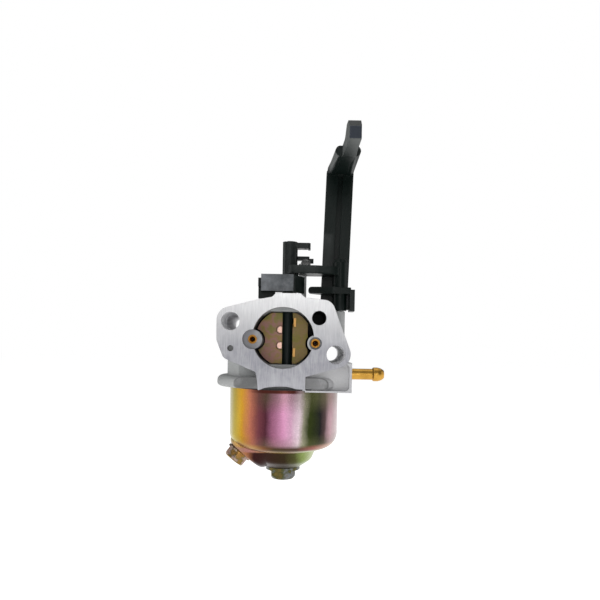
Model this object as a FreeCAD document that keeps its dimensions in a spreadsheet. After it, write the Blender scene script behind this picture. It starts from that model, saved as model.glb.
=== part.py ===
import FreeCAD, Part
import math
import os
import re

import Sketcher
from FreeCAD import Rotation
from FreeCAD import Vector as Vec

# Float carburetor of a small four-stroke engine, with a hand-operated choke lever.
# Millimetres. The origin is on the bore axis in the engine-side flange face,
# +Z is up, -Y points along the bore to the air cleaner, +X to the fuel inlet.

DOC = FreeCAD.newDocument("carburetor")

SIZES = {
    # body
    "body_length": 43.0,
    "front_flange_t": 6.0,
    "rear_flange_t": 5.0,
    "stud_pcd": 42.0,
    "stud_tilt": 16.8,
    "stud_hole_front_r": 3.5,
    "stud_hole_rear_r": 3.3,
    "stud_tube_r": 5.0,
    "choke_bore_r": 11.75,
    "choke_flat": 10.35,
    "barrel_r": 14.2,
    "throat_r": 7.5,
    "throttle_bore_r": 9.5,
    "throttle_barrel_r": 12.6,
    "vent_r": 2.75,
    "left_boss_r": 3.75,
    "right_boss_r": 3.1,
    "lid_r": 27.3,
    "lid_bottom": -19.5,
    "lid_t": 4.3,
    "chamber_top_r": 23.2,
    "column_r": 5.0,
    "column_foot": -52.2,
    "post_r": 2.2,
    "pivot_pin_r": 1.6,
    # bowl and its fastenings
    "bowl_r": 22.4,
    "bowl_wall": 0.9,
    "bowl_foot": -53.1,
    "gasket_t": 0.5,
    "bolt_flats": 9.7,
    "bolt_head_h": 3.9,
    "bolt_shank_r": 3.0,
    "bolt_washer_r": 7.1,
    "bolt_washer_t": 1.2,
    "drain_flats": 8.6,
    "drain_head_h": 3.5,
    "drain_washer_r": 5.2,
    "drain_washer_t": 0.8,
    # fuel side
    "barb_tube_r": 2.3,
    "barb_bulge_r": 2.9,
    "barb_tip_r": 1.95,
    "barb_hole_r": 1.2,
    "jet_r": 1.75,
    "jet_hole_r": 0.5,
    "needle_r": 1.25,
    "float_pin_r": 0.75,
    # choke
    "choke_shaft_r": 2.1,
    "choke_plate_t": 1.0,
    "choke_plate_r": 11.1,
    "head_bottom": 18.4,
    "head_top": 25.0,
    "slot_width": 3.4,
    "drive_pin_r": 0.8,
    "hub_r": 2.95,
    "lower_hub_r": 2.75,
    "arm_bottom": 26.4,
    "arm_top": 29.7,
    "riser_t": 4.0,
    # throttle
    "throttle_shaft_r": 1.8,
    "throttle_plate_r": 9.15,
    "throttle_plate_t": 0.9,
    "throttle_hub_r": 3.25,
    "lever_top": 42.8,
    "stop_screw_r": 1.0,
    "stop_screw_head_r": 1.45,
    "running_gap": 0.05,
}

DIMS = DOC.addObject("Spreadsheet::Sheet", "Dims")
for row, (alias, value) in enumerate(SIZES.items(), start=1):
    DIMS.set("A%d" % row, alias)
    DIMS.set("B%d" % row, str(value))
    DIMS.setAlias("B%d" % row, alias)
DOC.recompute()


def size(alias):
    """A driving dimension, read from the sheet."""
    return float(DIMS.get(alias))


# Reference points, all taken from the sheet or fixed by the layout of the bores.
FRONT = -size("body_length")
STUD_R = size("stud_pcd") / 2
TILT = math.radians(size("stud_tilt"))
STUD = (STUD_R * math.cos(TILT), -STUD_R * math.sin(TILT))
CHOKE = (1.35, -34.0)
THROTTLE = (1.2, -10.0)
PIVOT = (22.5, -25.0)
DRIVE_PIN = (4.4, -28.25)
BOWL_AXIS = (0.0, -21.5)
LEFT_JET = (-11.74, -0.7)
RIGHT_JET = (12.34, -1.9)
VENT = (13.6, 7.75)
NEEDLE = (12.4, -21.5)
FLOAT_PIN = (18.2, -23.0)
BARB = (-22.0, -14.3)
SLOT_ANGLE = 62.0
STOP_SCREW = (8.1, 32.3)
PILOT_JET = (-6.6, -20.5)
PILOT_SCREW = (-9.6, -8.5)
DRAIN_TURN = 15.0
DRAIN_FALL = 39.0

TURN = {
    "z": Rotation(),
    "-z": Rotation(Vec(1, 0, 0), 180),
    "x": Rotation(Vec(0, 1, 0), 90),
    "-x": Rotation(Vec(0, 1, 0), -90),
    "y": Rotation(Vec(1, 0, 0), -90),
    "-y": Rotation(Vec(1, 0, 0), 90),
}
# Sketch planes: local x and y of a sketch seen in the frame of the part.
PLANE = {
    "top": Rotation(),
    "front": Rotation(Vec(1, 0, 0), 90),
    "side": Rotation(Vec(1, 1, 1), 120),
}


def bind(obj, prop, value):
    """Set a property to a number, or bind it to a formula of sheet names."""
    if isinstance(value, str):
        obj.setExpression(prop, re.sub(r"[a-z]\w*", r"Dims.\g<0>", value))
    else:
        setattr(obj, prop, value)


def place(obj, base, rotation):
    obj.Placement = FreeCAD.Placement(Vec(*base), rotation)
    return obj


def cylinder(name, radius, height, base, axis="z"):
    obj = DOC.addObject("Part::Cylinder", name)
    bind(obj, "Radius", radius)
    bind(obj, "Height", height)
    return place(obj, base, TURN[axis])


def cone(name, radius_start, radius_end, height, base, axis="z"):
    obj = DOC.addObject("Part::Cone", name)
    bind(obj, "Radius1", radius_start)
    bind(obj, "Radius2", radius_end)
    bind(obj, "Height", height)
    return place(obj, base, TURN[axis])


def box(name, low, high):
    obj = DOC.addObject("Part::Box", name)
    obj.Length = high[0] - low[0]
    obj.Width = high[1] - low[1]
    obj.Height = high[2] - low[2]
    return place(obj, low, Rotation())


def hexagon(name, flats, height, base, rotation):
    obj = DOC.addObject("Part::Prism", name)
    obj.Polygon = 6
    bind(obj, "Circumradius", "%s / 1.7320508" % flats)
    bind(obj, "Height", height)
    return place(obj, base, rotation)


def fuse(name, *parts):
    obj = DOC.addObject("Part::MultiFuse", name)
    obj.Shapes = list(parts)
    obj.Refine = True
    return obj


def cut(name, base, *tools):
    obj = DOC.addObject("Part::Cut", name)
    obj.Base = base
    obj.Tool = tools[0] if len(tools) == 1 else fuse(name + "_tools", *tools)
    obj.Refine = True
    return obj


def common(name, first, second):
    obj = DOC.addObject("Part::Common", name)
    obj.Base = first
    obj.Tool = second
    obj.Refine = True
    return obj


def outline(points):
    """Edges of a closed outline; a third number rounds that corner."""
    edges = []
    count = len(points)
    starts = []
    ends = []
    arcs = []
    for i, point in enumerate(points):
        here = Vec(point[0], point[1], 0)
        radius = point[2] if len(point) > 2 else 0
        before = Vec(points[i - 1][0], points[i - 1][1], 0) - here
        after = Vec(points[(i + 1) % count][0], points[(i + 1) % count][1], 0) - here
        if radius == 0:
            starts.append(here)
            ends.append(here)
            arcs.append(None)
            continue
        half = before.getAngle(after) / 2
        back = radius / math.tan(half)
        first = here + before.normalize() * back
        last = here + after.normalize() * back
        middle = (first + last) * 0.5 - here
        apex = here + middle.normalize() * (radius / math.sin(half) - radius)
        starts.append(first)
        ends.append(last)
        arcs.append(Part.Arc(first, apex, last))
    for i in range(count):
        if arcs[i]:
            edges.append(arcs[i])
        step = starts[(i + 1) % count] - ends[i]
        if step.Length > 1e-6:
            edges.append(Part.LineSegment(ends[i], starts[(i + 1) % count]))
    return edges


def plane_sketch(name, points, base, plane):
    sketch = DOC.addObject("Sketcher::SketchObject", name)
    sketch.addGeometry(outline(points), False)
    return place(sketch, base, PLANE[plane])


def slab(name, points, thickness, base, plane):
    """A flat plate: an outline pushed along its plane's normal."""
    obj = DOC.addObject("Part::Extrusion", name)
    obj.Base = plane_sketch(name + "_outline", points, base, plane)
    obj.DirMode = "Normal"
    obj.Solid = True
    bind(obj, "LengthFwd", thickness)
    return obj


def lathe(name, points, base, rotation):
    """A turned piece: profile points are (radius, height along its own Z)."""
    body = DOC.addObject("PartDesign::Body", name)
    planes = {feature.Role: feature for feature in body.Origin.OriginFeatures}
    sketch = body.newObject("Sketcher::SketchObject", name + "_profile")
    sketch.AttachmentSupport = [(planes["XZ_Plane"], "")]
    sketch.MapMode = "FlatFace"
    sketch.addGeometry(outline(points), False)
    turned = body.newObject("PartDesign::Revolution", name + "_turned")
    turned.Profile = sketch
    turned.ReferenceAxis = (sketch, ["V_Axis"])
    turned.Angle = 360
    DOC.recompute()
    return place(body, base, rotation)


def flat_plate(name, circles, thickness, base, plane):
    """A PartDesign plate or ring padded from circles (x, y, radius formula)."""
    body = DOC.addObject("PartDesign::Body", name)
    planes = {feature.Role: feature for feature in body.Origin.OriginFeatures}
    sketch = body.newObject("Sketcher::SketchObject", name + "_sketch")
    sketch.AttachmentSupport = [(planes["XY_Plane"], "")]
    sketch.MapMode = "FlatFace"
    for i, (x, y, radius) in enumerate(circles):
        sketch.addGeometry(Part.Circle(Vec(x, y, 0), Vec(0, 0, 1), 1.0), False)
        number = sketch.addConstraint(Sketcher.Constraint("Radius", i, 1.0))
        bind(sketch, "Constraints[%d]" % number, radius)
    pad = body.newObject("PartDesign::Pad", name + "_pad")
    pad.Profile = sketch
    bind(pad, "Length", thickness)
    DOC.recompute()
    return place(body, base, PLANE[plane])


def tilted(u, v):
    """A point given along and across the line through the two studs."""
    x = u * math.cos(TILT) + v * math.sin(TILT)
    z = -u * math.sin(TILT) + v * math.cos(TILT)
    return (x, z)


# ---------------------------------------------------------------- body casting

def front_flange():
    points = [
        (-3.0, 17.0, 0.8), (-4.4, 15.5, 1.2), (-10.2, 14.4, 4.0), (-25.4, 10.4, 5.2),
        (-25.3, -1.2, 4.0), (-22.6, -8.0, 3.0), (-10.2, -13.2, 1.2), (-9.6, -16.6, 2.0),
        (-9.3, -20.2, 0.4), (-6.4, -19.0, 3.0), (-2.4, -18.6, 6.0), (1.9, -18.6, 6.0),
        (5.6, -19.6, 3.0), (8.65, -20.2, 0.4), (8.62, -14.73, 0.6), (27.5, -9.5, 5.3),
        (18.4, 14.4, 4.4), (8.0, 15.5, 1.4), (6.4, 17.0, 0.8),
    ]
    rear = (0, FRONT + size("front_flange_t"), 0)
    return slab("front_flange", points, "front_flange_t", rear, "front")


def rear_flange():
    corners = [
        (-27.4, -5.2, 5.0), (-10.5, -13.4, 8.0), (10.5, -13.4, 8.0),
        (27.4, -5.2, 5.0), (27.4, 5.2, 5.0), (10.5, 13.4, 8.0),
        (-10.5, 13.4, 8.0), (-27.4, 5.2, 5.0),
    ]
    points = [tilted(u, v) + (r,) for u, v, r in corners]
    return slab("rear_flange", points, "rear_flange_t", (0, 0, 0), "front")


def float_chamber_lid():
    centre = (BOWL_AXIS[0] - 0.5, BOWL_AXIS[1], size("lid_bottom"))
    radius = size("lid_r")
    thick = size("lid_t")
    rim = [(0, 0), (radius, 0, 1.3), (radius, thick, 2.2), (0, thick)]
    disc = lathe("lid_disc", rim, centre, TURN["z"])
    window = box("lid_window", (-40, FRONT + 0.6, -30), (40, 0, 30))
    lid = common("lid", disc, window)
    top_base = (centre[0], centre[1], -15.4)
    top = cylinder("chamber_top", "chamber_top_r", 6.6, top_base)
    top_window = box("chamber_window", (-24.5, -37.5, -20), (24.5, -0.2, 0))
    return [lid, common("chamber_wall", top, top_window)]


def inlet_block():
    block = box("inlet_solid", (8.62, FRONT + 0.2, -20.6), (26.4, -13.5, -9.2))
    pocket = [(8.8, -19.9, 0.4), (25.4, -19.9, 1.6), (25.4, -9.6, 1.6), (8.8, -9.6, 0.4)]
    recess = slab("inlet_recess", pocket, 6.0, (0, FRONT + 3.0, 0), "front")
    step_outline = [(8.0, -20.4), (16.9, -20.4, 0.4), (16.9, -17.1, 1.8), (8.0, -17.1)]
    step = slab("inlet_step", step_outline, 3.0, (0, FRONT + 4.6, 0), "front")
    return fuse("inlet_block", cut("inlet_shell", block, recess), step)


def body_solids():
    half = size("body_length")
    solids = [front_flange(), rear_flange(), inlet_block()]
    solids += float_chamber_lid()
    for side, name in ((-1, "left"), (1, "right")):
        base = (side * STUD[0], FRONT, side * STUD[1])
        solids.append(cylinder("stud_tube_" + name, "stud_tube_r", half, base, "y"))
        rib_low = (min(side * 6, side * 18), -36, side * STUD[1] - 2.5)
        rib_high = (max(side * 6, side * 18), -4, side * STUD[1] + 2.5)
        solids.append(box("stud_rib_" + name, rib_low, rib_high))
    solids += [
        cylinder("choke_barrel", "barrel_r", 23.0, (0, FRONT + 3, 0), "y"),
        cylinder("throttle_barrel", "throttle_barrel_r", 22.0, (0, -22, 0), "y"),
        cylinder("vent_tube", "vent_r + 1.6", 24.0, (VENT[0], FRONT + 2, VENT[1]), "y"),
        box("choke_plateau", (-3.0, FRONT + 1, 11.0), (6.3, -33.2, 16.9)),
        cylinder("choke_boss", 4.7, 5.9, (CHOKE[0], CHOKE[1], 11.0)),
        cylinder("throttle_boss", 4.4, 6.0, (THROTTLE[0], THROTTLE[1], 10.0)),
        cylinder("throttle_foot", 4.0, 6.0, (THROTTLE[0], THROTTLE[1], -15.0)),
        cylinder("pivot_post", "post_r", 21.0, (PIVOT[0], PIVOT[1], -9.5)),
        box("post_rib", (11.5, PIVOT[1] - 1.6, -12), (PIVOT[0], PIVOT[1] + 1.6, 9.6)),
        cylinder("pivot_pin", "pivot_pin_r", 18.0, (PIVOT[0], PIVOT[1], 11.0)),
        box("stop_lug", (5.2, -15.6, 8.0), (8.6, -11.6, 32.6)),
        cylinder("stop_boss", 2.2, 4.0, (STOP_SCREW[0], -15.6, STOP_SCREW[1]), "y"),
        cylinder("column", "column_r", 45.4, BOWL_AXIS + (size("column_foot"),)),
        cylinder("pilot_jet_boss", 4.6, 7.0, PILOT_JET + (6.0,)),
        cylinder("pilot_screw_boss", 2.9, 9.0, PILOT_SCREW + (5.0,)),
    ]
    for y in (-26.0, -19.2):
        low = (FLOAT_PIN[0] - 1.6, y, FLOAT_PIN[1] - 1.7)
        high = (FLOAT_PIN[0] + 1.4, y + 2.2, size("lid_bottom") + 1)
        solids.append(box("hinge_ear", low, high))
    return solids


def bore_tools():
    half = size("body_length")
    tools = []
    for side, name in ((-1, "left"), (1, "right")):
        base = (side * STUD[0], FRONT - 1, side * STUD[1])
        tools.append(cylinder("stud_hole_" + name, "stud_hole_rear_r", half + 2, base, "y"))
        tools.append(cylinder("stud_mouth_" + name, "stud_hole_front_r", 13.0, base, "y"))
    mouth = cylinder("choke_mouth", "choke_bore_r", 5.2, (0, FRONT - 1, 0), "y")
    round_bore = cylinder("choke_round", "choke_bore_r", 13.5, (0, FRONT + 3, 0), "y")
    flat = size("choke_flat")
    flat_bore = box("choke_flats", (-13, FRONT + 2, -flat), (13, -20, flat))
    air_horn = fuse("air_horn", mouth, common("choke_section", round_bore, flat_bore))
    left_at = (LEFT_JET[0], FRONT + 1.0, LEFT_JET[1])
    right_at = (RIGHT_JET[0], FRONT + 0.4, RIGHT_JET[1])
    left_boss = cylinder("left_boss", "left_boss_r", 17.0, left_at, "y")
    right_boss = cylinder("right_boss", "right_boss_r", 17.0, right_at, "y")
    tools.append(cut("horn_bore", air_horn, left_boss, right_boss))
    left_face = (LEFT_JET[0], FRONT - 1.0, LEFT_JET[1])
    right_face = (RIGHT_JET[0], FRONT - 1.0, RIGHT_JET[1])
    tools += [
        cylinder("left_spot", "left_boss_r", 2.0, left_face, "y"),
        cylinder("right_spot", 2.4, 2.0, right_face, "y"),
        cylinder("left_jet_hole", "jet_r", 9.0, left_face, "y"),
        cylinder("right_jet_hole", "jet_r", 9.0, right_face, "y"),
        cone("throat_entry", 10.3, "throat_r", 5.6, (0, -26.6, 0), "y"),
        cylinder("throat", "throat_r", 2.0, (0, -21.2, 0), "y"),
        cone("throat_exit", "throat_r", "throttle_bore_r", 6.2, (0, -19.6, 0), "y"),
        cylinder("throttle_bore", "throttle_bore_r", 15.0, (0, -13.5, 0), "y"),
        cylinder("vent_hole", "vent_r", 20.0, (VENT[0], FRONT - 1, VENT[1]), "y"),
        cylinder("dimple", 1.15, 2.0, (-19.95, FRONT - 1, -4.26), "y"),
    ]
    return tools


def shaft_tools():
    gap = "choke_shaft_r + running_gap"
    low = size("column_foot")
    return [
        cylinder("choke_shaft_bore", gap, 36.0, CHOKE + (-13.2,)),
        cylinder("throttle_shaft_bore", "throttle_shaft_r + running_gap", 34.0,
                 THROTTLE + (-13.6,)),
        cylinder("stop_screw_bore", "stop_screw_r + running_gap", 10.0,
                 (STOP_SCREW[0], -18, STOP_SCREW[1]), "y"),
        cylinder("nozzle_bore", 1.4, 40.0, BOWL_AXIS + (-46.0,)),
        cylinder("main_jet_bore", 2.0, 5.0, BOWL_AXIS + (-49.5,)),
        cylinder("bolt_thread", "bolt_shank_r", 6.0, BOWL_AXIS + (low - 1,)),
        cylinder("seat_bore", 2.6, 6.0, NEEDLE + (-21.5,)),
        cylinder("barb_bore", "barb_tube_r", 9.0, (18.5,) + BARB, "x"),
        cylinder("float_pin_bore", "float_pin_r", 12.0,
                 (FLOAT_PIN[0], -27.5, FLOAT_PIN[1]), "y"),
        cylinder("bowl_relief", "bowl_r + 0.4", 1.3, BOWL_AXIS + (-20.8,)),
        cylinder("pilot_jet_bore", 3.0, 5.0, PILOT_JET + (9.4,)),
        cylinder("pilot_jet_seat", 4.1, 3.0, PILOT_JET + (13.0,)),
        cylinder("pilot_screw_bore", 1.2 + 0.05, 9.0, PILOT_SCREW + (6.0,)),
    ]


def carburetor_body():
    """The aluminium casting, then the column inside the bowl is put back."""
    casting = cut("casting", fuse("cast_solids", *body_solids()), *bore_tools())
    tools = shaft_tools()
    relief = [tool for tool in tools if tool.Label == "bowl_relief"]
    others = [tool for tool in tools if tool.Label != "bowl_relief"]
    core = cylinder("relief_core", 21.1, 1.4, BOWL_AXIS + (-20.85,))
    ring = cut("bowl_relief_ring", relief[0], core)
    return cut("carburetor_body", casting, ring, *others)


# ------------------------------------------------------------- jets and plumbing

def air_jet(name, centre):
    base = (centre[0], FRONT + 1.4, centre[1])
    plug = cylinder(name + "_plug", "jet_r", 5.0, base, "y")
    counter = cone(name + "_mouth", "jet_hole_r + 0.7", "jet_hole_r", 1.2,
                   (centre[0], FRONT + 1.3, centre[1]), "y")
    hole = cylinder(name + "_hole", "jet_hole_r", 7.0, base, "y")
    return cut(name, plug, counter, hole)


def main_nozzle():
    tube = cylinder("nozzle_tube", 1.4, 38.5, BOWL_AXIS + (-44.5,))
    bore = cylinder("nozzle_hole", 0.8, 42.0, BOWL_AXIS + (-46.0,))
    tools = [bore]
    for level in (-40.0, -36.0, -32.0):
        tools.append(cylinder("emulsion_hole", 0.3, 4.0, (-2.0, BOWL_AXIS[1], level), "x"))
    return cut("main_nozzle", tube, *tools)


def main_jet():
    plug = cylinder("main_jet_plug", 2.0, 3.0, BOWL_AXIS + (-47.9,))
    hole = cylinder("main_jet_hole", 0.4, 5.0, BOWL_AXIS + (-49.0,))
    slot = box("main_jet_slot", (-2.5, BOWL_AXIS[1] - 0.3, -48.0),
               (2.5, BOWL_AXIS[1] + 0.3, -47.2))
    return cut("main_jet", plug, hole, slot)


def pilot_jet():
    """Black moulded idle jet, pressed into the top of the casting."""
    x, y = PILOT_JET
    stem = cylinder("pilot_stem", 3.0, 3.6, (x, y, 9.4))
    cap = cylinder("pilot_cap", 3.9, 1.6, (x, y, 13.0))
    slot = box("pilot_slot", (x - 5, y - 0.5, 13.8), (x + 5, y + 0.5, 15.5))
    return cut("pilot_jet", fuse("pilot_solids", stem, cap), slot)


def pilot_screw():
    x, y = PILOT_SCREW
    stem = cylinder("mixture_stem", 1.2, 10.0, (x, y, 7.5))
    head = cylinder("mixture_head", 2.1, 2.2, (x, y, 17.5))
    slot = box("mixture_slot", (x - 3, y - 0.35, 18.9), (x + 3, y + 0.35, 20))
    return cut("pilot_screw", fuse("mixture_solids", stem, head), slot)


def coil(name, radius, wire, pitch, length, base, rotation):
    """A compression spring: a round wire swept along a helix."""
    helix = Part.makeHelix(pitch, length, radius)
    profile = Part.Wire(Part.makeCircle(wire, Vec(radius, 0, 0), Vec(0, 1, 0)))
    path = Part.Wire(helix.Edges)
    spring = DOC.addObject("Part::Feature", name)
    spring.Shape = path.makePipeShell([profile], True, True)
    return place(spring, base, rotation)


def fuel_inlet_barb():
    tube = size("barb_tube_r")
    bulge = size("barb_bulge_r")
    tip = size("barb_tip_r")
    hole = size("barb_hole_r")
    profile = [
        (hole, 0), (tube, 0), (tube, 18.1), (bulge, 18.6), (bulge, 20.4),
        (2.55, 21.7), (tip, 22.7), (tip - 0.3, 23.0), (hole, 23.0),
    ]
    return lathe("fuel_inlet_barb", profile, (18.6,) + BARB, TURN["x"])


def needle_seat():
    profile = [
        (0.7, 0.6), (1.35, 0.0), (1.35, -3.6), (2.2, -3.6), (2.2, -1.0),
        (2.6, -1.0), (2.6, 3.2), (0.7, 3.2),
    ]
    return lathe("needle_seat", profile, NEEDLE + (-19.4,), TURN["z"])


def float_needle():
    profile = [
        (0, -8.1), (0.6, -8.1), (0.6, -7.4), (1.25, -6.8), (1.25, -1.4),
        (0.45, -0.1), (0, 0.0),
    ]
    return lathe("float_needle", profile, NEEDLE + (-19.25,), TURN["z"])


def float_pin():
    base = (FLOAT_PIN[0], -27.0, FLOAT_PIN[1])
    return cylinder("float_pin", "float_pin_r", 11.0, base, "y")


def float_solid():
    """Horseshoe float round the column, on an arm that hangs from the pin."""
    outer = cylinder("float_outer", 19.6, 11.0, BOWL_AXIS + (-40.0,))
    inner = cylinder("float_inner", 7.2, 13.0, BOWL_AXIS + (-41.0,))
    throat = box("float_throat", (-4.0, -45, -41), (4.0, BOWL_AXIS[1], -28))
    x, z = FLOAT_PIN
    arm_low = box("float_arm", (10.2, -23.2, -29.2), (x + 0.8, -19.8, -27.7))
    arm_up = box("float_riser", (x - 1.2, -23.2, -28.5), (x + 1.2, -19.8, z - 0.3))
    eye = cylinder("float_eye", 1.5, 3.4, (x, -23.2, z), "y")
    eye_hole = cylinder("float_eye_hole", "float_pin_r + running_gap", 6.0,
                        (x, -24.5, z), "y")
    ring = cut("float_ring", outer, inner, throat)
    return cut("float", fuse("float_solids", ring, arm_low, arm_up, eye), eye_hole)


# ------------------------------------------------------------------- float bowl

def drain_rotation():
    """Local +Z of the drain points down and outward, square to its flat."""
    fall = math.radians(DRAIN_FALL)
    turn = math.radians(DRAIN_TURN)
    out = Vec(-math.cos(turn), -math.sin(turn), 0)
    direction = out * math.sin(fall) + Vec(0, 0, -1) * math.cos(fall)
    return Rotation(Vec(0, 0, 1), direction), out, direction


def drain_face():
    rotation, out, direction = drain_rotation()
    face = Vec(BOWL_AXIS[0], BOWL_AXIS[1], -46.6) + out * 18.2
    return rotation, face, direction


def drain_ramp(name, radius, base_radius, height, back, rounding):
    """Tapered boss whose flat end carries the drain and runs down to the foot."""
    rotation, face, direction = drain_face()
    fall = math.radians(DRAIN_FALL)
    turn = math.radians(DRAIN_TURN)
    inward = Vec(math.cos(turn), math.sin(turn), 0)
    down = inward * math.cos(fall) + Vec(0, 0, -math.sin(fall))
    centre = face + down * 3.0 - direction * (height + back)
    profile = [(0, 0), (base_radius, 0), (radius, height, rounding), (0, height)]
    return lathe(name, profile, tuple(centre), rotation)


def float_bowl():
    r = size("bowl_r")
    foot = size("bowl_foot")
    wall = size("bowl_wall")
    rim = size("lid_bottom") - size("gasket_t")
    outer = [
        (0, rim), (r, rim), (r, -44.2, 6.3), (13.9, -45.0, 1.0),
        (11.9, -49.9, 4.0), (7.2, foot, 0.8), (0, foot),
    ]
    inner = [
        (0, rim + 1), (r - wall, rim + 1), (r - wall, -43.3, 5.4), (13.2, -44.1, 1.6),
        (11.2, -49.3, 3.3), (6.8, foot + wall, 0.3), (0, foot + wall),
    ]
    base = BOWL_AXIS + (0,)
    rotation, face, direction = drain_face()
    outside = lathe("bowl_outside", outer, base, TURN["z"])
    inside = lathe("bowl_inside", inner, base, TURN["z"])
    boss = drain_ramp("drain_boss", 8.6, 11.4, 7.0, 0, 3.0)
    hollow = drain_ramp("drain_hollow", 8.6 - wall, 11.7 - wall, 8.0, wall, 2.2)
    drain_hole = cylinder("drain_hole", 2.6, 4.0, tuple(face - direction * 3.0))
    drain_hole.Placement.Rotation = rotation
    bolt_hole = cylinder("bowl_bolt_hole", "bolt_shank_r + 0.1", 4.0, BOWL_AXIS + (foot - 1,))
    shell = fuse("bowl_skin", outside, boss)
    return cut("float_bowl", shell, inside, hollow, drain_hole, bolt_hole)


def ring_plate(name, outer, inner, thickness, base, rotation):
    ring = flat_plate(name, [(0, 0, outer), (0, 0, inner)], thickness, base, "top")
    ring.Placement.Rotation = rotation
    return ring


def bowl_fastenings():
    rotation, face, direction = drain_face()
    foot = size("bowl_foot")
    under = foot - size("bolt_washer_t")
    gasket = ring_plate("bowl_gasket", "bowl_r", "bowl_r - 1.2", "gasket_t",
                        BOWL_AXIS + (size("lid_bottom") - size("gasket_t"),), TURN["z"])
    washer = ring_plate("bowl_bolt_washer", "bolt_washer_r", "bolt_shank_r + 0.1",
                        "bolt_washer_t", BOWL_AXIS + (foot,), TURN["-z"])
    shank = cylinder("bowl_bolt_shank", "bolt_shank_r", 5.6, BOWL_AXIS + (under,))
    turn = Rotation(Vec(0, 0, 1), 98) * TURN["-z"]
    head = hexagon("bowl_bolt_head", "bolt_flats", "bolt_head_h", BOWL_AXIS + (under,), turn)
    crown = cone("bowl_bolt_crown", 7.4, 4.5, 3.9, BOWL_AXIS + (under,), "-z")
    trimmed = common("bowl_bolt_trim", head, crown)
    bolt = fuse("bowl_bolt", shank, trimmed)
    drain_washer = ring_plate("drain_washer", "drain_washer_r", "2.6", "drain_washer_t",
                              tuple(face), rotation)
    head_at = face + direction * size("drain_washer_t")
    drain_head = hexagon("drain_head", "drain_flats", "drain_head_h", tuple(head_at), rotation)
    drain_crown = cone("drain_crown", 6.8, 4.0, 3.5, tuple(head_at))
    drain_crown.Placement.Rotation = rotation
    drain_shank = cylinder("drain_shank", 2.5, 3.4, tuple(head_at - direction * 3.4))
    drain_shank.Placement.Rotation = rotation
    drain = fuse("drain_bolt", common("drain_trim", drain_head, drain_crown), drain_shank)
    return [gasket, washer, bolt, drain_washer, drain]


# ------------------------------------------------------------------------ choke

def choke_shaft():
    """Moulded shaft with its head: the front block, stop tail and open drive slot."""
    x, y = CHOKE
    low = size("head_bottom")
    high = size("head_top")
    rod = cylinder("choke_rod", "choke_shaft_r", 33.0, (x, y, -13.0))
    boss = cylinder("choke_head_boss", 3.1, high - low, (x, y, low))
    block = box("choke_block", (-9.2, -37.2, low), (3.5, -31.3, high))
    tab = box("choke_tab", (-10.4, -36.2, 20.2), (-9.0, -32.8, 23.6))
    tail = box("choke_tail", (-10.5, -33.6, 15.8), (-3.9, -30.6, 20.5))
    half_slot = size("slot_width") / 2
    lobe = box("choke_lobe", (0, -half_slot - 1.3, 0), (8.0, half_slot + 1.3, high - low))
    slot = box("drive_slot", (3.5, -half_slot, -1), (9.0, half_slot, high - low + 1))
    for piece in (lobe, slot):
        corner = Rotation(Vec(0, 0, 1), SLOT_ANGLE).multVec(piece.Placement.Base)
        turned = Rotation(Vec(0, 0, 1), SLOT_ANGLE)
        piece.Placement = FreeCAD.Placement(Vec(x, y, low) + corner, turned)
    solid = fuse("choke_head", rod, boss, block, tab, tail, lobe)
    half = size("choke_plate_t") / 2
    plate_slot = box("plate_slot", (x - 3, y - half, -10.05), (x + 3, y + half, 10.05))
    return cut("choke_shaft", solid, slot, plate_slot)


def choke_plate():
    """Zinc-plated vane with two stamped domes and two lanced tabs."""
    y = CHOKE[1]
    half = size("choke_plate_t") / 2
    disc = cylinder("vane_disc", "choke_plate_r", "choke_plate_t", (0, y - half, 0), "y")
    window = box("vane_window", (-12, y - 1, -10.05), (9.4, y + 1, 10.05))
    tools = [
        cylinder("notch_left", "left_boss_r + 0.55", 4.0,
                 (LEFT_JET[0], y - 2, LEFT_JET[1]), "y"),
        cylinder("notch_right", "right_boss_r + 0.7", 4.0,
                 (RIGHT_JET[0], y - 2, RIGHT_JET[1]), "y"),
    ]
    for x, z in ((3.75, 6.3), (3.55, -5.6)):
        tools.append(box("lanced_slot", (x - 0.35, y - 2, z - 1.8), (x, y + 2, z + 1.8)))
    vane = cut("vane", common("vane_blank", disc, window), *tools)
    raised = []
    for z in (3.35, -2.9):
        dome = cone("stamped_dome", 1.7, 1.2, 0.45, (-1.4, y - half, z), "-y")
        beyond = box("dome_trim", (-0.8, y - 2, z - 2), (2, y + 2, z + 2))
        raised.append(cut("stamped_half", dome, beyond))
    for x, z in ((3.75, 6.3), (3.55, -5.6)):
        raised.append(box("lanced_tab", (x, y - half - 0.5, z - 1.7), (x + 1.0, y, z + 1.7)))
    return fuse("choke_plate", vane, *raised)


def rail(name, start, end):
    """Rounded edge of the handle, run from the riser to the shoulder."""
    axis = end - start
    solid = cylinder(name, 1.85, axis.Length, tuple(start))
    solid.Placement.Rotation = Rotation(Vec(0, 0, 1), axis)
    return solid


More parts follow.
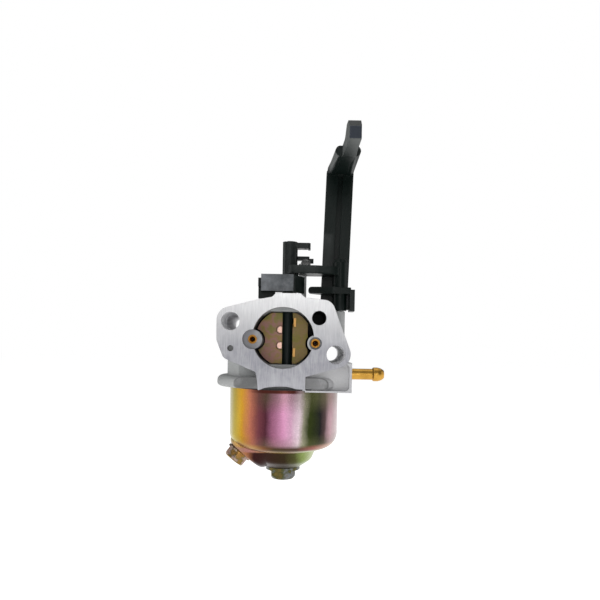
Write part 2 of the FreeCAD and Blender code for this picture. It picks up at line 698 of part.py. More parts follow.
def lever_grip():
    """The handle: its plan and its side view, each pushed through and kept in common."""
    plan = [
        (16.7, -17.3, 0.6), (19.4, -50.6, 0.6), (20.7, -50.2, 0.8), (21.1, -56.0, 4.0),
        (21.9, -67.0, 0.5), (26.1, -67.0, 0.5), (25.7, -56.0, 4.0), (25.9, -50.6, 0.4),
        (26.2, -50.6, 0.2), (27.5, -17.3, 0.6),
    ]
    side = [
        (-17.0, 66.0), (-17.0, 73.2, 3.0), (-51.4, 70.2, 4.0), (-57.0, 70.4, 3.0),
        (-60.6, 73.8, 1.2), (-64.4, 73.8, 1.2), (-67.2, 70.4, 0.5), (-67.2, 66.6, 0.4),
        (-51.4, 66.3, 6.0), (-20.8, 69.5), (-20.8, 66.0),
    ]
    from_above = slab("grip_plan", plan, 20.0, (0, 0, 60.0), "top")
    from_side = slab("grip_side", side, 20.0, (12.0, 0, 0), "side")
    web = common("grip_web", from_above, from_side)
    left = rail("left_rail", Vec(18.3, -18.0, 71.1), Vec(20.05, -51.3, 68.2))
    right = rail("right_rail", Vec(25.8, -18.0, 71.1), Vec(25.65, -51.3, 68.2))
    return fuse("lever_grip", fuse("left_grip", web, left), right)


def choke_lever():
    """Tall moulded hand lever: hub on the post, link arm with drive pin, riser, handle."""
    x, y = PIVOT
    bottom = size("arm_bottom")
    thick = size("arm_top") - bottom
    upper_hub = cylinder("upper_hub", "hub_r", 13.0, (x, y, 18.6))
    fillet = cone("hub_crown", "hub_r", 2.2, 1.4, (x, y, 31.6))
    lower_hub = cylinder("lower_hub", "lower_hub_r", 7.4, (x, y, 11.9))
    keeper = box("keeper", (26.3, -28.2, 11.6), (28.4, -21.5, 20.4))
    bridge = box("keeper_bridge", (23.0, -24.4, 12.4), (27.0, -21.6, 19.5))
    disc_points = [
        (9.4, -25.6, 1.1), (19.5, -28.6, 3), (26.9, -28.4, 1.0),
        (26.9, -20.5, 1.0), (14.6, -20.5, 3), (9.4, -22.4, 1.1),
    ]
    flange_plan = slab("flange_plan", disc_points, 4.0, (0, 0, 18.0), "top")
    rise = [(9.4, 19.0, 1.2), (18.0, 18.6, 6.0), (28.0, 18.6), (28.0, 21.2), (20.0, 21.4, 6.0),
            (9.4, 21.6, 1.3)]
    flange_side = slab("flange_side", rise, 12.0, (0, -18.0, 0), "front")
    flange = common("lever_flange", flange_plan, flange_side)
    arm_points = [
        (1.0, -31.0, 2.3), (13.0, -30.6, 8.0), (22.0, -28.2, 2.0), (23.5, -21.5, 1.0),
        (15.0, -21.5, 3.0), (1.6, -25.6, 2.3),
    ]
    arm = slab("link_arm", arm_points, thick, (0, 0, bottom), "top")
    pin = cylinder("drive_pin", "drive_pin_r", 7.6, DRIVE_PIN + (19.2,))
    riser_points = [(14.7, 15.0, 0.8), (25.9, 15.0, 0.8), (27.7, 71.0), (16.4, 71.0)]
    riser = slab("riser", riser_points, "riser_t", (0, -17.0, 0), "front")
    web = box("riser_web", (x - 2.4, -24.0, 19.0), (x + 2.4, -19.5, 31.6))
    groove_points = [(19.9, 33.2, 1.0), (22.1, 33.2, 1.0), (23.4, 69.2), (21.2, 69.2)]
    groove = slab("riser_groove", groove_points, 1.6, (0, -19.6, 0), "front")
    grip = lever_grip()
    root = fuse("root_solids", upper_hub, fillet, lower_hub, keeper, bridge, flange, arm,
                pin, web)
    solid = fuse("lever_solids", fuse("stem_solids", riser, grip), root)
    bore = cylinder("lever_bore", "pivot_pin_r + running_gap", 19.0, (x, y, 11.0))
    wire_hole = cylinder("wire_hole", 0.45, 3.0, (14.6, -18.8, 27.2), "x")
    return cut("choke_lever", solid, groove, bore, wire_hole)


def choke_wire():
    """Bent steel wire set in the riser; its free end springs against the link."""
    straight = cylinder("wire_leg", 0.45, 9.6, (8.0, -18.8, 27.2), "x")
    knee = DOC.addObject("Part::Sphere", "wire_knee")
    knee.Radius = 0.45
    place(knee, (8.0, -18.8, 27.2), TURN["z"])
    hook = cylinder("wire_hook", 0.45, 2.6, (8.0, -18.8, 27.2), "-y")
    return fuse("choke_wire", straight, knee, hook)


# --------------------------------------------------------------------- throttle

def throttle_shaft():
    x, y = THROTTLE
    half = size("throttle_plate_t") / 2
    rod = cylinder("throttle_rod", "throttle_shaft_r", 43.4, (x, y, -13.4))
    slot = box("throttle_slot", (x - 3, y - half, -9.5), (x + 3, y + half, 9.5))
    tools = [slot]
    for z in (5.0, -5.0):
        tools.append(cylinder("screw_hole", 0.9, 5.0, (x, y - 2.5, z), "y"))
    return cut("throttle_shaft", rod, *tools)


def throttle_plate():
    x, y = THROTTLE
    half = size("throttle_plate_t") / 2
    disc = cylinder("butterfly", "throttle_plate_r", "throttle_plate_t", (0, y - half, 0), "y")
    holes = [cylinder("butterfly_hole", 0.9, 3.0, (x, y - 1.5, z), "y") for z in (5.0, -5.0)]
    return cut("throttle_plate", disc, *holes)


def throttle_plate_screw(name, z):
    x, y = THROTTLE
    shank = cylinder(name + "_shank", 0.9, 3.0, (x, y - 1.2, z), "y")
    head = cylinder(name + "_head", 1.7, 1.0, (x, y + 1.8, z), "y")
    slot = box(name + "_slot", (x - 2, y + 2.3, z - 0.25), (x + 2, y + 3, z + 0.25))
    return cut(name, fuse(name + "_solids", shank, head), slot)


def throttle_lever():
    """Moulded post with two arms for the governor link and its spring."""
    x, y = THROTTLE
    top = size("lever_top")
    hub = cylinder("throttle_hub", "throttle_hub_r", top - 16.6, (x, y, 16.6))
    back = box("hub_back", (x - 3.0, y - 0.2, 30.0), (x + 3.3, y + 2.6, top))
    upper = [(1.0, -12.0), (9.6, -12.0, 0.8), (10.2, -11.0, 0.8), (10.2, -8.4, 0.8), (1.0, -7.4)]
    upper_arm = slab("upper_arm", upper, 2.4, (0, 0, 40.0), "top")
    hook = box("upper_hook", (9.2, -11.2, 39.6), (10.2, -8.6, 40.4))
    lower = [(1.0, -9.8), (9.8, -9.8, 0.8), (9.8, -7.4, 0.8), (1.0, -7.0)]
    lower_arm = slab("lower_arm", lower, 1.7, (0, 0, 35.1), "top")
    knob = cylinder("lower_knob", 1.1, 2.6, (9.0, -8.6, 34.9), "x")
    stop = box("stop_tab", (7.2, -9.6, 31.2), (9.8, -8.0, 35.6))
    solid = fuse("throttle_solids", hub, back, upper_arm, hook, lower_arm, knob, stop)
    tools = [
        cylinder("throttle_lever_bore", "throttle_shaft_r", 14.0, (x, y, 16.0)),
        box("hub_groove", (x - 1.9, y - 4.0, 17.0), (x - 1.2, y - 2.2, top + 1)),
        cylinder("governor_hole", 0.9, 4.0, (8.0, -9.9, 39.4)),
    ]
    return cut("throttle_lever", solid, *tools)


def throttle_stop_screw():
    x, z = STOP_SCREW
    shank = cylinder("stop_shank", "stop_screw_r", 10.4, (x, -20.4, z), "y")
    head = cylinder("stop_head", "stop_screw_head_r", 1.6, (x, -21.6, z), "y")
    slot = box("stop_slot", (x - 3, -21.8, z - 0.3), (x + 3, -20.9, z + 0.3))
    return cut("throttle_stop_screw", fuse("stop_solids", shank, head), slot)


# ---------------------------------------------------------------- build and save

def build():
    parts = [
        carburetor_body(),
        air_jet("main_air_jet", LEFT_JET),
        air_jet("pilot_air_jet", RIGHT_JET),
        main_nozzle(),
        main_jet(),
        pilot_jet(),
        pilot_screw(),
        coil("pilot_screw_spring", 1.7, 0.25, 0.8, 2.4, PILOT_SCREW + (14.45,), TURN["z"]),
        fuel_inlet_barb(),
        needle_seat(),
        float_needle(),
        float_pin(),
        float_solid(),
        float_bowl(),
        choke_shaft(),
        choke_plate(),
        choke_lever(),
        choke_wire(),
        throttle_shaft(),
        throttle_plate(),
        throttle_plate_screw("throttle_plate_screw_upper", 5.0),
        throttle_plate_screw("throttle_plate_screw_lower", -5.0),
        throttle_lever(),
        throttle_stop_screw(),
        coil("throttle_stop_spring", 1.5, 0.25, 0.9, 3.2,
             (STOP_SCREW[0], -19.6, STOP_SCREW[1]), TURN["y"]),
    ]
    return parts + bowl_fastenings()


def check(parts):
    """Stop if any object failed or any part is empty or unsound."""
    for obj in DOC.Objects:
        if "Invalid" in obj.State or "Error" in obj.State:
            raise RuntimeError("failed object: %s %s" % (obj.Label, obj.State))
    for part in parts:
        if part.Shape.isNull() or not part.Shape.isValid():
            raise RuntimeError("unsound part: %s" % part.Label)
        if len(part.Shape.Solids) != 1:
            raise RuntimeError("%s has %d solids" % (part.Label, len(part.Shape.Solids)))


PARTS = build()
DOC.recompute()
check(PARTS)
os.makedirs("parts", exist_ok=True)
for part in PARTS:
    part.Shape.exportStep("parts/%s.step" % part.Label)
    print("%-28s %9.1f mm3" % (part.Label, part.Shape.Volume))
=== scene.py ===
import bpy
import math
from mathutils import Matrix, Vector

# Float carburetor of a small engine: looks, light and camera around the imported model.
# The frame is in metres, with its origin on the bore axis in the engine-side face.

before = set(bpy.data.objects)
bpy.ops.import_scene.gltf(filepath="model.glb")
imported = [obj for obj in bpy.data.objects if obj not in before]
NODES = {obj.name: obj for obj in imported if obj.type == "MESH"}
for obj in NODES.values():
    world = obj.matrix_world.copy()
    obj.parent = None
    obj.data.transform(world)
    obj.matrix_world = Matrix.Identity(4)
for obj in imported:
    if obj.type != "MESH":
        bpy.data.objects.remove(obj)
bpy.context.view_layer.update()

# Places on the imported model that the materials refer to, in metres. Points are x, z.
FRONT_FACE = (-0.04275, -0.0429)
REAR_FACE = (-0.0002, -0.00008)
STUD_HOLES = ((-0.02006, 0.00606), (0.02006, -0.00606))
STUD_WALL = (0.0048, 0.0044)
VENT_HOLE = (0.0136, 0.00775)
LEFT_JET_BOSS = (-0.01174, -0.0007)
BOWL_SIDES = (-0.0231, 0.0222)
HEAD_FRONT = (-0.0370, -0.0372)
GRIP_END = (-0.0667, -0.0669)


# ------------------------------------------------------------------ shader helper

class Finish:
    """A principled material with short calls for the nodes that drive it."""

    def __init__(self, name, roughness=0.5, metallic=0.0, specular=0.5):
        self.material = bpy.data.materials.new(name)
        self.material.use_nodes = True
        self.tree = self.material.node_tree
        self.shader = self.tree.nodes["Principled BSDF"]
        self.shader.inputs["Roughness"].default_value = roughness
        self.shader.inputs["Metallic"].default_value = metallic
        self.shader.inputs["Specular IOR Level"].default_value = specular
        coordinates = self.add("ShaderNodeTexCoord").outputs
        self.place = coordinates["Object"]
        self.facing = coordinates["Normal"]
        split = self.add("ShaderNodeSeparateXYZ")
        self.tree.links.new(self.place, split.inputs[0])
        self.x, self.y, self.z = split.outputs
        self.normal = None

    def add(self, kind):
        return self.tree.nodes.new(kind)

    def put(self, socket, value):
        if isinstance(value, bpy.types.NodeSocket):
            self.tree.links.new(value, socket)
        elif isinstance(value, tuple) and socket.type == "RGBA":
            socket.default_value = value + (1.0,) if len(value) == 3 else value
        else:
            socket.default_value = value

    def math(self, kind, first, second=0.0, clamp=False):
        node = self.add("ShaderNodeMath")
        node.operation = kind
        node.use_clamp = clamp
        self.put(node.inputs[0], first)
        self.put(node.inputs[1], second)
        return node.outputs[0]

    def noise(self, scale, detail=4.0, rough=0.55, stretch=(1.0, 1.0, 1.0)):
        mapping = self.add("ShaderNodeMapping")
        mapping.inputs["Scale"].default_value = stretch
        self.tree.links.new(self.place, mapping.inputs["Vector"])
        node = self.add("ShaderNodeTexNoise")
        node.inputs["Scale"].default_value = scale
        node.inputs["Detail"].default_value = detail
        node.inputs["Roughness"].default_value = rough
        self.tree.links.new(mapping.outputs[0], node.inputs["Vector"])
        return node.outputs["Fac"]

    def distance(self, x, z):
        """Distance from an axis that runs front to back at x, z."""
        across = self.math("SUBTRACT", self.x, x)
        up = self.math("SUBTRACT", self.z, z)
        square = self.math("ADD", self.math("MULTIPLY", across, across),
                           self.math("MULTIPLY", up, up))
        return self.math("SQRT", square)

    def remap(self, value, low, high, new_low=0.0, new_high=1.0):
        node = self.add("ShaderNodeMapRange")
        node.clamp = True
        for socket, number in zip(node.inputs[:5], (value, low, high, new_low, new_high)):
            self.put(socket, number)
        return node.outputs[0]

    def ramp(self, value, stops):
        node = self.add("ShaderNodeValToRGB")
        elements = node.color_ramp.elements
        while len(elements) < len(stops):
            elements.new(0.5)
        for element, (place, colour) in zip(elements, stops):
            element.position = place
            element.color = colour + (1.0,)
        self.put(node.inputs[0], value)
        return node.outputs["Color"]

    def mix(self, factor, first, second, kind="MIX"):
        node = self.add("ShaderNodeMix")
        node.data_type = "RGBA"
        node.blend_type = kind
        self.put(node.inputs["Factor"], factor)
        colours = [s for s in node.inputs if s.type == "RGBA"]
        self.put(colours[0], first)
        self.put(colours[1], second)
        return [s for s in node.outputs if s.type == "RGBA"][0]

    def blend(self, factor, first, second):
        node = self.add("ShaderNodeMix")
        node.data_type = "FLOAT"
        self.put(node.inputs[0], factor)
        self.put(node.inputs[2], first)
        self.put(node.inputs[3], second)
        return node.outputs[0]

    def bump(self, height, strength, distance):
        node = self.add("ShaderNodeBump")
        self.put(node.inputs["Strength"], strength)
        node.inputs["Distance"].default_value = distance
        self.put(node.inputs["Height"], height)
        if self.normal is not None:
            self.tree.links.new(self.normal, node.inputs["Normal"])
        self.normal = node.outputs["Normal"]
        self.tree.links.new(self.normal, self.shader.inputs["Normal"])

    def edges(self, radius):
        """Round the look of sharp edges by a small radius."""
        node = self.add("ShaderNodeBevel")
        node.inputs["Radius"].default_value = radius
        node.samples = 6
        self.normal = node.outputs["Normal"]
        self.tree.links.new(self.normal, self.shader.inputs["Normal"])

    def set(self, name, value):
        self.put(self.shader.inputs[name], value)

    def wear(self, colour, worn, amount):
        """Worn colour in patches along the outer edges."""
        node = self.add("ShaderNodeNewGeometry")
        edge = self.remap(node.outputs["Pointiness"], 0.5, 0.62)
        patch = self.remap(self.noise(240.0), 0.35, 0.65)
        return self.mix(self.math("MULTIPLY", edge, self.math("MULTIPLY", patch, amount)),
                        colour, worn)


def dress(material, *names):
    for name in names:
        slots = NODES[name].data.materials
        slots.clear()
        slots.append(material)


# ---------------------------------------------------------------------- materials

def cast_aluminium():
    """Matte cast skin, with bright brushed metal on the machined end faces.

    The fade down the front face is painted reflection; the dark horn walls, vent hole and flange
    edge are painted shade, and the pale stud hole walls and inlet block pocket are painted light.
    """
    f = Finish("cast aluminium", 0.5, 0.35)
    f.edges(0.00025)
    broad = f.noise(55.0)
    grain = f.noise(1900.0, 3.0, 0.7)
    streak = f.noise(300.0, 6.0, 0.75, (7.0, 1.0, 0.45))
    fine_streak = f.noise(900.0, 4.0, 0.7, (6.0, 1.0, 0.2))
    front = f.remap(f.y, *FRONT_FACE)
    rear = f.remap(f.y, *REAR_FACE)
    machined = f.math("MAXIMUM", front, rear)

    skin = f.ramp(broad, [(0.3, (0.30, 0.31, 0.31)), (0.7, (0.40, 0.41, 0.41))])
    skin = f.mix(f.remap(grain, 0.35, 0.7, 0.0, 0.4), skin, (0.20, 0.20, 0.20))
    # The stud hole walls are painted near white: painted light inside the holes.
    lit_stud_wall_left, lit_stud_wall_right = [f.remap(f.distance(*hole), *STUD_WALL) for hole in STUD_HOLES]
    skin = f.mix(f.math("MAXIMUM", lit_stud_wall_left, lit_stud_wall_right), skin, (0.93, 0.93, 0.94))
    # Inside the vent hole the colour is near black: painted shade.
    vent_hole_shade = f.math("MULTIPLY", f.remap(f.distance(*VENT_HOLE), 0.0031, 0.0028),
                         f.remap(f.y, -0.0429, -0.0427))
    skin = f.mix(vent_hole_shade, skin, (0.01, 0.01, 0.01))

    # The machined faces are painted from grey low down to near white at the top: painted
    # reflection.
    height = f.remap(f.z, -0.020, 0.016)
    bright = f.ramp(height, [(0.0, (0.34, 0.34, 0.37)), (0.20, (0.22, 0.22, 0.25)),
                             (0.40, (0.23, 0.23, 0.26)), (0.7, (0.50, 0.50, 0.51)),
                             (1.0, (0.86, 0.86, 0.86))])
    bright = f.mix(f.remap(streak, 0.38, 0.68, 0.0, 0.35), bright, (0.26, 0.26, 0.29))
    bright = f.mix(f.remap(fine_streak, 0.4, 0.7, 0.0, 0.30), bright, (0.72, 0.72, 0.74))
    left_boss = f.math("MULTIPLY", f.remap(f.distance(*LEFT_JET_BOSS), 0.0039, 0.0037),
                       f.remap(f.y, -0.0415, -0.0418))
    skin = f.mix(left_boss, skin, (0.52, 0.52, 0.56))
    # The inlet block's pocket is painted paler than the rest of the cast skin: painted light in
    # the recess.
    lit_block = f.math("MULTIPLY", f.math("MULTIPLY", f.remap(f.x, 0.0084, 0.0087),
                                      f.remap(f.z, -0.0092, -0.0095)),
                   f.remap(f.y, -0.0375, -0.0385))
    lit_block_tone = f.mix(f.remap(grain, 0.35, 0.7, 0.0, 0.4), (0.54, 0.54, 0.55),
                       (0.36, 0.36, 0.36))
    skin = f.mix(lit_block, skin, lit_block_tone)
    # The side walls inside the air horn are painted near black: painted shade.
    bore_shade = f.math("MULTIPLY", f.remap(f.distance(0.0, 0.0), 0.0122, 0.0120),
                     f.remap(f.y, -0.0412, -0.0404))
    beside = f.remap(f.math("ABSOLUTE", f.z), 0.0092, 0.0084)
    skin = f.mix(f.math("MULTIPLY", bore_shade, beside), skin, (0.02, 0.02, 0.02))
    # The flange's side wall is painted dark: painted shade.
    edge = f.math("MULTIPLY", f.remap(f.y, -0.0417, -0.0420), f.remap(f.y, -0.0426, -0.0425))
    skin = f.mix(f.math("MULTIPLY", edge, 0.7), skin, (0.05, 0.05, 0.05))
    worn = f.wear(f.mix(machined, skin, bright), (0.62, 0.62, 0.63), 0.4)
    f.set("Base Color", worn)
    f.set("Metallic", f.blend(machined, 0.25, 0.55))
    f.set("Roughness", f.blend(machined, 0.62, f.remap(streak, 0.3, 0.7, 0.34, 0.5)))
    f.bump(grain, f.blend(machined, 0.35, 0.0), 0.0002)
    f.bump(fine_streak, f.blend(machined, 0.0, 0.25), 0.0001)
    return f.material


# Colours of the bowl from left to right, at shares of its width, for each band of height: partly
# the zinc's own tint, partly painted reflection, with a painted bright highlight and painted dark
# bands.
BOWL_TINT_AND_REFLECTION = [
    (0.00, (0.38, 0.36, 0.20)), (0.08, (0.34, 0.26, 0.01)), (0.18, (0.34, 0.17, 0.01)),
    (0.25, (0.30, 0.10, 0.06)), (0.32, (0.14, 0.04, 0.05)), (0.38, (0.07, 0.02, 0.03)),
    (0.45, (0.27, 0.10, 0.17)), (0.53, (0.40, 0.18, 0.29)), (0.60, (0.50, 0.29, 0.40)),
    (0.66, (0.66, 0.52, 0.58)), (0.70, (0.24, 0.23, 0.16)), (0.74, (0.03, 0.04, 0.01)),
    (0.83, (0.01, 0.01, 0.01)), (0.88, (0.05, 0.03, 0.03)), (0.94, (0.40, 0.25, 0.28)),
    (1.00, (0.50, 0.42, 0.42)),
]
CONE = [
    (0.00, (0.30, 0.20, 0.08)), (0.20, (0.28, 0.11, 0.05)), (0.27, (0.03, 0.01, 0.01)),
    (0.56, (0.03, 0.02, 0.01)), (0.63, (0.06, 0.06, 0.02)), (0.69, (0.18, 0.23, 0.07)),
    (0.76, (0.34, 0.38, 0.20)), (1.00, (0.30, 0.26, 0.12)),
]
RING = [
    (0.00, (0.28, 0.18, 0.08)), (0.22, (0.30, 0.13, 0.12)), (0.40, (0.30, 0.16, 0.05)),
    (0.52, (0.24, 0.17, 0.04)), (0.62, (0.32, 0.22, 0.16)), (0.74, (0.34, 0.38, 0.22)),
    (1.00, (0.36, 0.22, 0.16)),
]
SEAM = [
    (0.00, (0.30, 0.18, 0.06)), (0.25, (0.34, 0.18, 0.05)), (0.36, (0.16, 0.06, 0.02)),
    (0.45, (0.05, 0.03, 0.01)), (0.66, (0.06, 0.03, 0.02)), (0.78, (0.24, 0.08, 0.06)),
    (1.00, (0.50, 0.34, 0.24)),
]


def zinc_bowl():
    """Yellow passivated zinc: its colour drifts through pink and green round the bowl, partly its
    own tint and partly painted reflection.
    """
    f = Finish("yellow zinc bowl", 0.3, 1.0)
    cloud = f.noise(60.0, 5.0, 0.6, (1.0, 1.0, 0.5))
    speck = f.noise(2600.0, 2.0, 0.6)
    across = f.remap(f.x, *BOWL_SIDES)
    drift = f.math("ADD", across, f.remap(cloud, 0.3, 0.7, -0.03, 0.03))
    # The bands across the bowl carry painted highlights and painted dark reflections as well as
    # the zinc's tint.
    barrel = f.ramp(drift, BOWL_TINT_AND_REFLECTION)
    # Near the top and bottom of the barrel the colour turns a dim olive grey: painted fade of the
    # reflections.
    highlight_fade = f.math("MAXIMUM", f.remap(f.z, -0.0290, -0.0235), f.remap(f.z, -0.0370, -0.0415))
    middle = f.remap(drift, 0.22, 0.40)
    highlight_fade = f.math("MULTIPLY", f.math("MULTIPLY", highlight_fade, middle), 0.40)
    barrel = f.mix(highlight_fade, barrel, (0.11, 0.11, 0.05))
    seam = f.mix(f.remap(f.z, -0.0424, -0.0410), f.ramp(drift, SEAM), barrel)
    ring = f.mix(f.remap(f.z, -0.0440, -0.0434), f.ramp(drift, RING), seam)
    colour = f.mix(f.remap(f.z, -0.0457, -0.0451), f.ramp(drift, CONE), ring)
    # A dark red band just under the lid: painted shade.
    rim_shade = f.math("MULTIPLY", f.remap(f.z, -0.0214, -0.0210),
                 f.math("MULTIPLY", f.remap(drift, 0.22, 0.34), f.remap(drift, 0.72, 0.60)))
    colour = f.mix(rim_shade, colour, (0.07, 0.02, 0.015))
    bright = f.mix(1.0, colour, (1.6, 1.6, 1.6), "MULTIPLY")
    colour = f.mix(f.remap(speck, 0.45, 0.75, 0.0, 0.6), colour, bright)
    f.set("Base Color", colour)
    f.set("Roughness", f.remap(cloud, 0.3, 0.7, 0.24, 0.34))
    f.bump(speck, 0.12, 0.0001)
    f.bump(cloud, 0.05, 0.001)
    return f.material


def zinc_fastener():
    f = Finish("yellow zinc fastener", 0.34, 1.0)
    f.edges(0.0002)
    cloud = f.noise(260.0, 4.0)
    fine = f.noise(2200.0, 3.0)
    colour = f.ramp(cloud, [
        (0.28, (0.13, 0.08, 0.02)), (0.42, (0.22, 0.15, 0.05)), (0.52, (0.10, 0.10, 0.04)),
        (0.62, (0.28, 0.27, 0.30)), (0.74, (0.24, 0.15, 0.05)),
    ])
    colour = f.mix(f.remap(fine, 0.4, 0.7, 0.0, 0.3), colour, (0.18, 0.12, 0.05))
    golden = f.mix(1.0, colour, (1.45, 1.12, 0.95), "MULTIPLY")
    greyer = f.mix(1.0, colour, (0.58, 0.64, 0.62), "MULTIPLY")
    f.set("Base Color", f.mix(f.remap(f.x, -0.0085, -0.0095), greyer, golden))
    f.set("Roughness", f.remap(fine, 0.3, 0.7, 0.25, 0.45))
    f.bump(fine, 0.12, 0.0001)
    return f.material


def zinc_plate():
    """The choke plate: olive gold, with pink and bronze clouds."""
    f = Finish("yellow zinc plate", 0.45, 0.75)
    f.edges(0.0001)
    cloud = f.noise(150.0, 3.0)
    fine = f.noise(1800.0, 3.0)
    colour = f.ramp(cloud, [
        (0.30, (0.12, 0.13, 0.03)), (0.42, (0.17, 0.14, 0.05)), (0.50, (0.24, 0.12, 0.11)),
        (0.58, (0.20, 0.14, 0.05)), (0.70, (0.12, 0.13, 0.03)),
    ])
    olive = f.mix(f.remap(fine, 0.4, 0.7), (0.15, 0.12, 0.025), (0.10, 0.09, 0.02))
    colour = f.mix(f.remap(f.x, 0.002, 0.004, 0.0, 0.7), colour, olive)
    # The raised dimples are painted pale pink and the raised tabs gold: painted highlights.
    proud = f.remap(f.y, -0.03462, -0.0348)
    raised_highlight = f.mix(f.remap(f.x, 0.002, 0.0025), (0.85, 0.55, 0.45), (0.60, 0.33, 0.10))
    colour = f.mix(proud, colour, raised_highlight)
    f.set("Base Color", f.mix(f.remap(fine, 0.4, 0.7, 0.0, 0.25), colour, (0.16, 0.12, 0.06)))
    f.bump(fine, 0.1, 0.0001)
    return f.material


def brass(name="brass", colour=(0.56, 0.31, 0.06), dark=(0.28, 0.14, 0.02)):
    f = Finish(name, 0.3, 1.0)
    f.edges(0.00015)
    turned = f.noise(500.0, 3.0, 0.6, (12.0, 0.5, 0.5))
    cloud = f.noise(180.0)
    mixed = f.mix(f.remap(cloud, 0.35, 0.7, 0.0, 0.5), colour, dark)
    f.set("Base Color", mixed)
    f.set("Roughness", f.remap(turned, 0.3, 0.7, 0.26, 0.42))
    f.bump(turned, 0.15, 0.0001)
    return f.material


def black_plastic():
    """Moulded nylon: black with a slight green cast, satin, with faint scuffs.

    The pale left and lower sides of the grip, the pale grip end, the pale head front and the
    paler patches on the lever fronts are painted light.
    """
    f = Finish("black nylon", 0.30, 0.0, 0.16)
    f.edges(0.0002)
    fine = f.noise(2600.0, 3.0, 0.6)
    scuff = f.noise(90.0, 6.0, 0.7)
    colour = f.mix(f.remap(scuff, 0.4, 0.75), (0.001, 0.004, 0.003), (0.003, 0.007, 0.006))
    # The front of the choke head is painted pale grey in patches: painted light.
    head = f.math("MULTIPLY", f.remap(f.y, *HEAD_FRONT), f.remap(f.z, 0.027, 0.0262))
    head_light_patches = f.remap(scuff, 0.62, 0.42, 0.4, 1.0)
    colour = f.mix(f.math("MULTIPLY", head, head_light_patches), colour, (0.190, 0.200, 0.215))
    # Faces of the grip turned left or downward are painted lighter: painted light.
    split = f.add("ShaderNodeSeparateXYZ")
    f.put(split.inputs[0], f.facing)
    left_side = f.remap(split.outputs[0], -0.35, -0.85)
    under = f.math("MULTIPLY", f.remap(split.outputs[2], -0.2, -0.6, 0.0, 0.7),
                   f.remap(f.y, -0.0510, -0.0640))
    grip = f.math("MULTIPLY", f.math("MAXIMUM", left_side, under), f.remap(f.y, -0.0250, -0.0330))
    grip = f.math("MULTIPLY", grip, f.remap(f.z, 0.052, 0.058))
    colour = f.mix(grip, colour, (0.100, 0.108, 0.104))
    # The front end of the grip is painted pale blue grey: painted light.
    grip_end = f.remap(f.y, *GRIP_END)
    colour = f.mix(grip_end, colour, (0.030, 0.036, 0.048))
    # Between 26.5 and 45 mm up, left of x = 19 mm, the plastic is painted a little paler in
    # patches: painted light.
    front_lit = f.math("MULTIPLY", f.remap(f.z, 0.0265, 0.0272), f.remap(f.z, 0.0450, 0.0440))
    lit_patches = f.math("MULTIPLY", f.math("MULTIPLY", front_lit, f.remap(f.x, 0.020, 0.018)),
                        f.remap(scuff, 0.6, 0.4, 0.4, 1.0))
    colour = f.mix(lit_patches, colour, (0.020, 0.024, 0.023))
    f.set("Base Color", f.wear(colour, (0.04, 0.045, 0.045), 0.4))
    f.set("Roughness", f.remap(scuff, 0.3, 0.7, 0.30, 0.40))
    f.bump(fine, 0.10, 0.0001)
    return f.material


def steel(name="steel", colour=(0.50, 0.50, 0.50), dark=(0.26, 0.26, 0.26)):
    f = Finish(name, 0.32, 1.0)
    f.edges(0.0001)
    fine = f.noise(900.0, 4.0)
    f.set("Base Color", f.mix(f.remap(fine, 0.4, 0.7, 0.0, 0.4), colour, dark))
    f.set("Roughness", f.remap(fine, 0.3, 0.7, 0.24, 0.42))
    f.bump(fine, 0.1, 0.0001)
    return f.material


def black_rubber():
    f = Finish("rubber", 0.75, 0.0, 0.3)
    fine = f.noise(1500.0)
    f.set("Base Color", f.mix(f.remap(fine, 0.3, 0.7), (0.012, 0.012, 0.012), (0.03, 0.03, 0.03)))
    f.bump(fine, 0.2, 0.0001)
    return f.material


def dress_all():
    dress(cast_aluminium(), "carburetor_body")
    dress(zinc_bowl(), "float_bowl")
    dress(zinc_fastener(), "bowl_bolt", "bowl_bolt_washer", "drain_bolt", "drain_washer")
    dress(zinc_plate(), "choke_plate")
    dress(brass(), "fuel_inlet_barb", "main_nozzle", "main_jet", "needle_seat", "throttle_plate")
    jets = brass("jet brass", (0.36, 0.17, 0.03), (0.14, 0.06, 0.01))
    dress(jets, "main_air_jet", "pilot_air_jet")
    plastic = black_plastic()
    dress(plastic, "choke_lever", "choke_shaft", "throttle_lever", "pilot_jet", "float")
    dress(steel(), "throttle_shaft", "throttle_plate_screw_upper", "throttle_plate_screw_lower",
          "pilot_screw", "pilot_screw_spring", "float_pin", "float_needle")
    dress(steel("dark steel", (0.07, 0.07, 0.07), (0.02, 0.02, 0.02)), "throttle_stop_screw",
          "throttle_stop_spring", "choke_wire")
    dress(black_rubber(), "bowl_gasket")


# ---------------------------------------------------------------- floor, light, camera

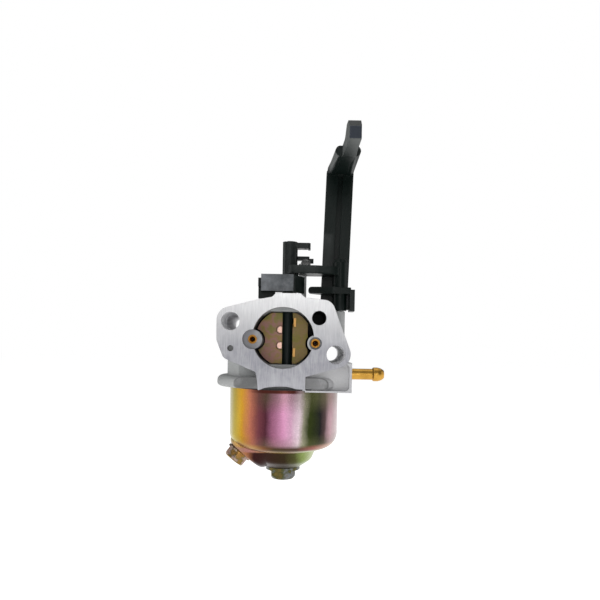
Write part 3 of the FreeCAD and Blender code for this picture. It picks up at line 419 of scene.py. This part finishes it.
def studio():
    surface = Finish("studio floor", 0.9, 0.0, 0.1)
    tone = surface.noise(3.0, 2.0)
    surface.set("Base Color", surface.mix(tone, (0.68, 0.68, 0.68), (0.70, 0.70, 0.70)))
    surface.set("Emission Color", (1.0, 1.0, 1.0))
    surface.set("Emission Strength", 0.86)
    bpy.ops.mesh.primitive_plane_add(size=6.0, location=(0, 1.0, -0.115))
    floor = bpy.context.object
    floor.name = "floor"
    floor.data.materials.append(surface.material)

    world = bpy.data.worlds.new("studio")
    bpy.context.scene.world = world
    world.use_nodes = True
    tree = world.node_tree
    back = tree.nodes["Background"]
    back.inputs["Color"].default_value = (1.0, 1.0, 1.0, 1.0)
    path = tree.nodes.new("ShaderNodeLightPath")
    level = tree.nodes.new("ShaderNodeMapRange")
    level.inputs["To Min"].default_value = 0.20
    level.inputs["To Max"].default_value = 1.0
    tree.links.new(path.outputs["Is Camera Ray"], level.inputs["Value"])
    tree.links.new(level.outputs[0], back.inputs["Strength"])
    bpy.context.scene.view_settings.view_transform = "Standard"


def softbox(name, place, target, width, height, power):
    light = bpy.data.lights.new(name, "AREA")
    light.shape = "RECTANGLE"
    light.size = width
    light.size_y = height
    light.energy = power
    lamp = bpy.data.objects.new(name, light)
    bpy.context.scene.collection.objects.link(lamp)
    lamp.location = place
    aim = Vector(target) - Vector(place)
    lamp.rotation_euler = aim.to_track_quat("-Z", "Y").to_euler()


def lights():
    softbox("key", (-0.35, -0.75, 0.55), (0, -0.02, 0), 0.5, 0.5, 2.1)
    softbox("front", (0.04, -0.85, 0.08), (0, -0.02, -0.03), 0.14, 0.5, 0.8)
    softbox("left card", (-0.60, -0.05, 0.05), (0, -0.02, 0), 0.5, 0.6, 1.1)
    softbox("right card", (0.60, -0.02, 0.05), (0, -0.02, 0), 0.5, 0.6, 0.8)
    softbox("top", (0.0, 0.1, 0.75), (0, -0.02, 0), 0.9, 0.9, 2.6)


IMAGE_WIDTH = 600.0
FOCAL_LENGTH = 523.5
SENSOR_WIDTH = 36.0
CAMERA_ROLL = 1.0
CAMERA_PLACE = (0.00774, -0.2416, -0.00355)
CAMERA_SHIFT = (-0.0055, 0.0792)


def camera():
    """Level camera in front of the air horn, rolled one degree; focal length in image dots."""
    data = bpy.data.cameras.new("camera")
    data.sensor_width = SENSOR_WIDTH
    data.lens = SENSOR_WIDTH * FOCAL_LENGTH / IMAGE_WIDTH
    data.shift_x, data.shift_y = CAMERA_SHIFT
    data.clip_start = 0.01
    data.clip_end = 20.0
    eye = bpy.data.objects.new("camera", data)
    bpy.context.scene.collection.objects.link(eye)
    roll = math.radians(CAMERA_ROLL)
    right = Vector((math.cos(roll), 0.0, math.sin(roll)))
    up = Vector((-math.sin(roll), 0.0, math.cos(roll)))
    back = Vector((0.0, -1.0, 0.0))
    turn = Matrix((right, up, back)).transposed().to_4x4()
    eye.matrix_world = Matrix.Translation(CAMERA_PLACE) @ turn
    bpy.context.scene.camera = eye


camera()
studio()
lights()
dress_all()
